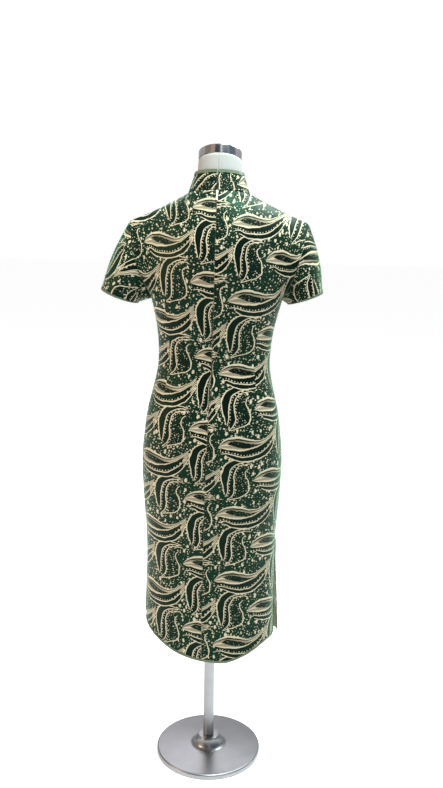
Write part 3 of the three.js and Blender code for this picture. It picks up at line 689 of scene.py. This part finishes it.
# Soft troughs pressed into the cloth: where each lies round the body (t) and its height, how long, wide
# and deep it is in millimetres (less than nothing is inwards), and its slant from level in degrees.
creases = [
    dict(t=8, z=1015, long=60, wide=9, deep=-2.6, slant=4),
    dict(t=22, z=990, long=70, wide=8, deep=-2.2, slant=-8),
    dict(t=350, z=1002, long=60, wide=8, deep=-2.4, slant=6),
    dict(t=336, z=980, long=62, wide=9, deep=-2.4, slant=-6),
    dict(t=352, z=952, long=70, wide=11, deep=-2.2, slant=-4),
    dict(t=14, z=948, long=60, wide=10, deep=-1.9, slant=5),
    dict(t=345, z=1318, long=26, wide=5, deep=-1.6, slant=4),
    dict(t=18, z=760, long=90, wide=26, deep=-1.8, slant=60),
    dict(t=342, z=720, long=110, wide=26, deep=-1.8, slant=-62),
    dict(t=14, z=460, long=180, wide=30, deep=-3.0, slant=88),
    dict(t=344, z=440, long=190, wide=30, deep=-3.0, slant=92),
    dict(t=52, z=460, long=170, wide=30, deep=-2.6, slant=84),
    dict(t=310, z=460, long=170, wide=28, deep=-2.6, slant=96),
    dict(t=58, z=1090, long=60, wide=12, deep=-2.4, slant=-50),
    dict(t=302, z=1090, long=60, wide=12, deep=-2.4, slant=50),
    dict(t=166, z=980, long=70, wide=10, deep=-2.0, slant=6),
    dict(t=196, z=960, long=70, wide=10, deep=-2.0, slant=-5),
    dict(t=140, z=1060, long=60, wide=12, deep=-2.0, slant=-40),
    dict(t=222, z=1056, long=60, wide=12, deep=-2.0, slant=40),
    dict(t=160, z=460, long=190, wide=30, deep=-3.0, slant=86),
    dict(t=205, z=440, long=180, wide=30, deep=-3.0, slant=94),
]
creaseSpread = dict(radius=125.0, lengthShare=0.6)


def pressed(t, place):
    # The creases' depth at each point, measured on the ring of the body.
    depth = np.zeros(t.shape)
    for crease in creases:
        x = rad(np.mod(t - crease["t"] + 180, 360) - 180) * creaseSpread["radius"]
        z = place[..., 2] - crease["z"]
        slant = rad(crease["slant"])
        along = x * np.cos(slant) + z * np.sin(slant)
        off = z * np.cos(slant) - x * np.sin(slant)
        reach = crease["long"] * creaseSpread["lengthShare"]
        depth += crease["deep"] * bell(along, reach) * bell(off, crease["wide"])
    return depth


def sew(piece, node):
    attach(piece, body)
    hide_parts(node)


# The panels: the degrees that each goes round, its faces and the column that the print is measured from.
panels = dict(
    back_left=dict(part="back", start=0, stop=90, columns=80, middle=0, printFrom=(-45, -517)),
    back_right=dict(part="back", start=270, stop=360, columns=80, middle=80, printFrom=(26, -552)),
    front=dict(part="front", start=90, stop=270, columns=150, middle=75, printFrom=(0, 10)),
)
panelEdge = dict(gap=0.035, top=0.999, flat=4.0, rowsAbove=70, rowsBelow=160)
clothThick = 1.2
# Each dart's place round the body, what it takes up and how that thins out up and down.
darts = dict(back=dict(t=46, wide=24), front=dict(t=44, wide=20))
dartShape = dict(z=980, reach=125, power=1.3)
# The centre back seam takes in some cloth at the waist.
seamShape = dict(taken=10.0, z=944.0, reach=110.0)
# Above the underarms the cloth is eased up and out over the shoulder blades.
easing = dict(start=1040.0, over=150.0, out=8.0, up=8.0)
# How flat the cloth is pulled near its middle, and where that ends, in degrees round the body.
pull = dict(least=0.2, start=46.0, over=24.0)


def panelGrid(panel):
    start, stop, gap = panel["start"], panel["stop"], panelEdge["gap"]
    t = np.linspace(start + gap, stop - gap, panel["columns"] + 1)[:, None]
    above = -np.linspace(panelEdge["top"], 0, panelEdge["rowsAbove"])
    below = np.linspace(0, 1, panelEdge["rowsBelow"] + 1)[1:]
    t, h = np.broadcast_arrays(t, np.concatenate([above, below])[None, :])
    place = bodyPoint(t, h, panel["part"])
    edge = clamp((t - start) / panelEdge["flat"]) * clamp((stop - t) / panelEdge["flat"])
    return t, place + gridNormals(place) * (pressed(t, place) * smooth(edge))[..., None]


def dartShift(t, place, panel):
    # Faces beyond the dart's line lie further off on the flat cloth, by the cloth taken up.
    dart = darts[panel["part"]]
    z = (place[:-1, :-1, 2] + place[1:, 1:, 2]) / 2
    taken = dart["wide"] * clamp(1 - np.abs((z - dartShape["z"]) / dartShape["reach"]) ** dartShape["power"])
    fromBack = np.abs(np.mod(t[:-1, :-1] + 180, 360) - 180)
    offCentre = fromBack if panel["part"] == "back" else 180 - fromBack
    side = np.where(np.arange(len(z))[:, None] >= panel["middle"], -1, 1)
    shift = np.where(offCentre >= dart["t"], taken, 0) * side
    return np.stack([shift, 0 * shift], -1)


def makePanel(name, panel):
    t, place = panelGrid(panel)
    middle = panel["middle"]
    toSide = smooth((np.abs(t[:-1, 0] - t[middle, 0]) - pull["start"]) / pull["over"])
    flat = flatPlace(place, middle, mix(pull["least"], 1.0, toSide))
    side = np.sign(flat[..., 0])
    z = place[..., 2]
    flat[..., 0] += side * seamShape["taken"] * bell(z - seamShape["z"], seamShape["reach"])
    eased = smooth((z - easing["start"]) / easing["over"])
    flat[..., 0] -= side * easing["out"] * eased
    flat[..., 1] -= easing["up"] * eased
    flat -= panel["printFrom"]
    shift = dartShift(t, place, panel)
    sew(shell(name + "_cloth", place, flat, clothThick, clothSides, shift=shift), name)


def sleeveFlat(place, right):
    # Lengths up from the sleeve's hem and along it, as the sleeve was cut.
    along = np.linalg.norm(np.diff(place[:, -1], axis=0), axis=-1).cumsum()
    along = np.concatenate([[0], along])
    up = np.linalg.norm(np.diff(place, axis=1), axis=-1)[:, ::-1].cumsum(axis=1)[:, ::-1]
    up = np.concatenate([up, np.zeros((len(place), 1))], axis=1)
    x = (along - along[len(along) // 2]) * right
    return np.stack([np.broadcast_to(x[:, None], up.shape), up], -1)


sleeveFaces = dict(columns=96, rows=40)


def makeSleeve(name, limb):
    s = np.linspace(0, 1, sleeveFaces["columns"] + 1)[:, None]
    k = np.linspace(0, 1, sleeveFaces["rows"] + 1)[None, :]
    place = sleevePoint(limb, s, k)
    flat = -sleeveFlat(place, -limb["side"]) - np.array(limb["printFrom"])
    node = "sleeve_" + name
    sew(shell(node + "_cloth", place, flat, clothThick, clothSides, flip=limb["side"]), node)


# The collar's halves: the degrees that each goes round, the column that its print is measured from
# and how the print lies on it.
collars = dict(
    left=dict(ends=(1.6, 179.4), middle=0, slant=45, printFrom=(-70, 66)),
    right=dict(ends=(180.6, 358.4), middle=80, slant=0, printFrom=(-34, 90)),
)
collarFaces = dict(columns=80, rows=20, foot=0.007)


def turned(flat, degrees):
    c, s = math.cos(math.radians(degrees)), math.sin(math.radians(degrees))
    return np.stack([flat[..., 0] * c - flat[..., 1] * s, flat[..., 0] * s + flat[..., 1] * c], -1)


def makeCollar(name, half):
    t = np.linspace(*half["ends"], collarFaces["columns"] + 1)[:, None]
    k = np.linspace(collarFaces["foot"], 1, collarFaces["rows"] + 1)[None, :]
    place = collarPoint(t, k)
    flat = flatPlace(place, half["middle"]) * np.array([1, -1])
    flat = turned(flat, half["slant"]) - np.array(half["printFrom"])
    node = "collar_" + name
    sew(shell(node + "_cloth", place, flat, clothThick, clothSides, flip=-1), node)


for name, panel in panels.items():
    makePanel(name, panel)
for name, limb in sleeves.items():
    makeSleeve(name, limb)
for name, half in collars.items():
    makeCollar(name, half)
print("cloth ready")

# The form's cover round the neck, with its seam at the centre back, and its tilted top.
cover = dict(
    low=0.45,
    insets=(5.0, 3.9),
    topRadius=45.9,
    under=0.2,
    thick=0.5,
    seamDepth=0.7,
    seamWidth=1.4,
    rows=14,
    columns=180,
)
neckTop = dict(x=-7.0, y=-17.0, z=1396.0, tilt=20.0)


def neckCover():
    t = np.linspace(0, 360, cover["columns"] + 1)[:, None]
    w = np.linspace(0, 1, cover["rows"] + 1)[None, :]
    t, w = np.broadcast_arrays(t, w)
    lowInset, topInset = cover["insets"]
    low = mix(neckRing(neckSeam, t, lowInset), neckRing(collarTop, t, lowInset), cover["low"])
    middle = neckRing(collarTop, t, topInset)
    for ring in (low, middle):
        ring[..., 0] += swayAt(ring[..., 2])
    tilt = rad(neckTop["tilt"])
    across, along = cover["topRadius"] * np.sin(rad(t)), cover["topRadius"] * np.cos(rad(t))
    y = neckTop["y"] + along * np.cos(tilt)
    z = neckTop["z"] - cover["under"] + along * np.sin(tilt)
    top = np.stack([neckTop["x"] + across, y, z], -1)
    share = 2 * w[..., None]
    place = np.where(share < 1, mix(low, middle, share), mix(middle, top, share - 1))
    offSeam = rad(np.abs(np.mod(t + 180, 360) - 180)) * cover["topRadius"]
    pinch = 1 - cover["seamDepth"] / cover["topRadius"] * bell(offSeam, cover["seamWidth"])
    x = (place[..., 0] - neckTop["x"]) * pinch + neckTop["x"]
    place = np.stack([x, place[..., 1] * pinch, place[..., 2]], -1)
    piece = shell("neck_cover", place, flatPlace(place), cover["thick"], [finishes["form_cover"]], flip=-1)
    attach(piece, body)


neckCover()

# Turned metal parts: a radius and a height for each step of the profile, from the foot up.
stand = dict(
    pole=12.5,
    flange=42.0,
    flangeHigh=8.0,
    base=125.0,
    baseHigh=12.0,
    baseEdge=4.0,
    boss=27.0,
    bossHigh=40.0,
    bossEdge=4.0,
    formFoot=675.0,
)
flare = dict(wide=18.0, narrows=13.0, lift=3.0, rise=6.0, steps=6)
cap = dict(radius=46.3, high=20.0, edge=3.0, dome=2.5, domeShares=(0.85, 0.7, 0.5, 0.3, 0.1))
turning = dict(segments=144, edgeSteps=9, sharp=35.0)


def roundEdge(radius, top, edge):
    angles = np.linspace(0, math.pi / 2, turning["edgeSteps"])
    return [(radius - edge + edge * math.cos(a), top - edge + edge * math.sin(a)) for a in angles]


def turnedPart(name, node, profile, material):
    segments = turning["segments"]
    angles = np.linspace(0, 2 * math.pi, segments, endpoint=False)
    points = [(r * math.cos(a) * mm, r * math.sin(a) * mm, z * mm) for r, z in profile for a in angles]
    faces = []
    for row in range(len(profile) - 1):
        low, high = row * segments, (row + 1) * segments
        for i in range(segments):
            j = (i + 1) % segments
            faces.append((low + i, low + j, high + j, high + i))
    faces.append(tuple(range(segments))[::-1])
    faces.append(tuple(range((len(profile) - 1) * segments, len(profile) * segments)))
    piece = addMesh(name, points, faces, [material])
    piece.data.shade_smooth()
    piece.data.set_sharp_from_angle(angle=math.radians(turning["sharp"]))
    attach(piece, body)
    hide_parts(node)
    return piece.data


def makeCap():
    rim = cap["radius"] - cap["edge"]
    dome = [(rim * w, cap["high"] + cap["dome"] * (1 - w * w)) for w in cap["domeShares"]]
    profile = [(cap["radius"], 0), *roundEdge(cap["radius"], cap["high"], cap["edge"]), *dome]
    lifted = [(r, z + seam) for r, z in profile]
    mesh = turnedPart("neck_cap", "form_neck_cap", lifted, finishes["polished_steel"])
    lean = Matrix.Rotation(math.radians(neckTop["tilt"]), 4, "X")
    foot = Vector((neckTop["x"], neckTop["y"], neckTop["z"])) * mm
    mesh.transform(Matrix.Translation(foot) @ lean)


def makeStand():
    poleTop = stand["formFoot"] - seam
    poleProfile = [
        (stand["pole"], stand["bossHigh"] + seam),
        (stand["pole"], poleTop - 2 * stand["flangeHigh"]),
        (stand["flange"], poleTop - stand["flangeHigh"] / 2),
        (stand["flange"], poleTop),
    ]
    flared = []
    for w in np.linspace(0, 1, flare["steps"]):
        radius = stand["boss"] + flare["wide"] - flare["narrows"] * w
        flared.append((radius, stand["baseHigh"] + flare["lift"] + flare["rise"] * w * w))
    baseProfile = [
        (stand["base"], 0),
        *roundEdge(stand["base"], stand["baseHigh"], stand["baseEdge"]),
        *flared,
        *roundEdge(stand["boss"], stand["bossHigh"], stand["bossEdge"]),
    ]
    turnedPart("pole", "stand_pole", poleProfile, finishes["stand_steel"])
    turnedPart("base", "stand_base", baseProfile, finishes["stand_steel"])


makeCap()
makeStand()
print("form and stand ready")

# The CAD pieces that keep their shape get their finish.
for part in frame["record"]["subparts"]:
    solid = frame["nodes"][part["node"]]
    node = solid if isinstance(solid, bpy.types.Object) else bpy.data.objects[part["node"]]
    node.data.materials.clear()
    node.data.materials.append(finishes[part["material_slot"]])

# The room: a pale floor that glows a little, and a sky that is whitest where it is looked at.
room = dict(floorSize=40.0, floorGap=0.0005, floorGlow=0.57, sky=0.45, skySeen=1.0)


def glowing(name, colour, glowColour, strength, roughness=0.5):
    material = newMaterial(name, colour, roughness)
    shader = material.node_tree.nodes["Principled BSDF"]
    shader.inputs["Emission Color"].default_value = (*glowColour, 1)
    shader.inputs["Emission Strength"].default_value = strength
    return material, shader


bpy.ops.mesh.primitive_plane_add(size=room["floorSize"], location=(0, 0, -room["floorGap"]))
floor = bpy.context.object
floor.name = "floor"
floor.data.materials.append(glowing("floor", (0.9, 0.9, 0.9), (1, 1, 1), room["floorGlow"], 0.9)[0])

world = bpy.data.worlds.new("studio")
bpy.context.scene.world = world
world.use_nodes = True
background = world.node_tree.nodes["Background"]
background.inputs["Color"].default_value = (1, 1, 1, 1)
worldWeb = Web(world.node_tree)
seen = worldWeb.node("ShaderNodeLightPath").outputs["Is Camera Ray"]
skyStrength = worldWeb.math("MULTIPLY_ADD", seen, room["skySeen"] - room["sky"], room["sky"])
worldWeb.put(background.inputs["Strength"], skyStrength)
bpy.context.scene.view_settings.view_transform = "Standard"

lights = dict(
    coolTop=dict(place=(-0.5, 0.35, 2.9), aim=(-0.1, 0, 1.3), size=0.6, power=80, colour=(0.84, 1.0, 0.96)),
    coolRim=dict(place=(-1.0, -0.9, 2.4), aim=(-0.1, 0, 1.3), size=1.0, power=32, colour=(0.88, 1.0, 0.96)),
    warmSide=dict(place=(2.2, 0.9, 1.7), aim=(0, 0, 1.1), size=1.0, power=30, colour=(1.0, 0.74, 0.5)),
    front=dict(place=(0.4, -2.4, 2.4), aim=(0, 0, 1.0), size=1.6, power=14, colour=(1.0, 1.0, 1.0)),
)
for name, light in lights.items():
    data = bpy.data.lights.new(name, "AREA")
    data.shape = "DISK"
    data.size = light["size"]
    data.energy = light["power"]
    data.color = light["colour"]
    lamp = bpy.data.objects.new(name, data)
    bpy.context.collection.objects.link(lamp)
    lamp.location = light["place"]
    toAim = Vector(light["aim"]) - Vector(light["place"])
    lamp.rotation_euler = toAim.to_track_quat("-Z", "Y").to_euler()

# Dark and coloured cards that only reflections see, as in a furnished room.
cards = [
    dict(x=0.9, y=3.6, wide=2.4, colour=(0.06, 0.06, 0.065)),
    dict(x=2.6, y=2.6, wide=0.5, colour=(0.75, 0.32, 0.1)),
    dict(x=-0.75, y=3.6, wide=0.5, colour=(1.0, 1.0, 1.0)),
    dict(x=-2.3, y=3.0, wide=2.2, colour=(0.09, 0.12, 0.16)),
    dict(x=-3.5, y=0.6, wide=2.6, colour=(0.14, 0.18, 0.24)),
    dict(x=3.5, y=0.8, wide=2.4, colour=(0.3, 0.24, 0.18)),
]
cardSize = dict(middle=3.6, high=6.0)
for number, card in enumerate(cards):
    bpy.ops.mesh.primitive_plane_add(size=1, location=(card["x"], card["y"], cardSize["middle"]))
    board = bpy.context.object
    board.name = "card%d" % number
    board.scale = (card["wide"], cardSize["high"], 1)
    board.rotation_euler = (math.pi / 2, 0, -math.atan2(card["x"], card["y"]))
    material, shader = glowing(board.name, (0, 0, 0), card["colour"], 1.0)
    shader.inputs["Specular IOR Level"].default_value = 0.0
    board.data.materials.append(material)
    board.visible_camera = board.visible_diffuse = board.visible_shadow = False

# The camera: degrees round from behind and down, how far off and high it is, where it looks and its roll.
view = dict(turn=4.0, down=12.0, away=1.9, high=1.293, aimX=-0.019, lens=39.5, roll=0.9)
viewTurn, viewDown = math.radians(view["turn"]), math.radians(view["down"])
across, back = -view["away"] * math.sin(viewTurn), view["away"] * math.cos(viewTurn)
level = Vector((view["aimX"] - across, -back, 0)).normalized()
forward = level * math.cos(viewDown) - Vector((0, 0, math.sin(viewDown)))
camera = bpy.data.objects.new("camera", bpy.data.cameras.new("camera"))
bpy.context.collection.objects.link(camera)
camera.data.lens = view["lens"]
look = forward.to_track_quat("-Z", "Y").to_matrix().to_4x4()
roll = Matrix.Rotation(math.radians(view["roll"]), 4, "Z")
camera.matrix_world = Matrix.Translation((across, back, view["high"])) @ look @ roll
bpy.context.scene.camera = camera
print("room ready")
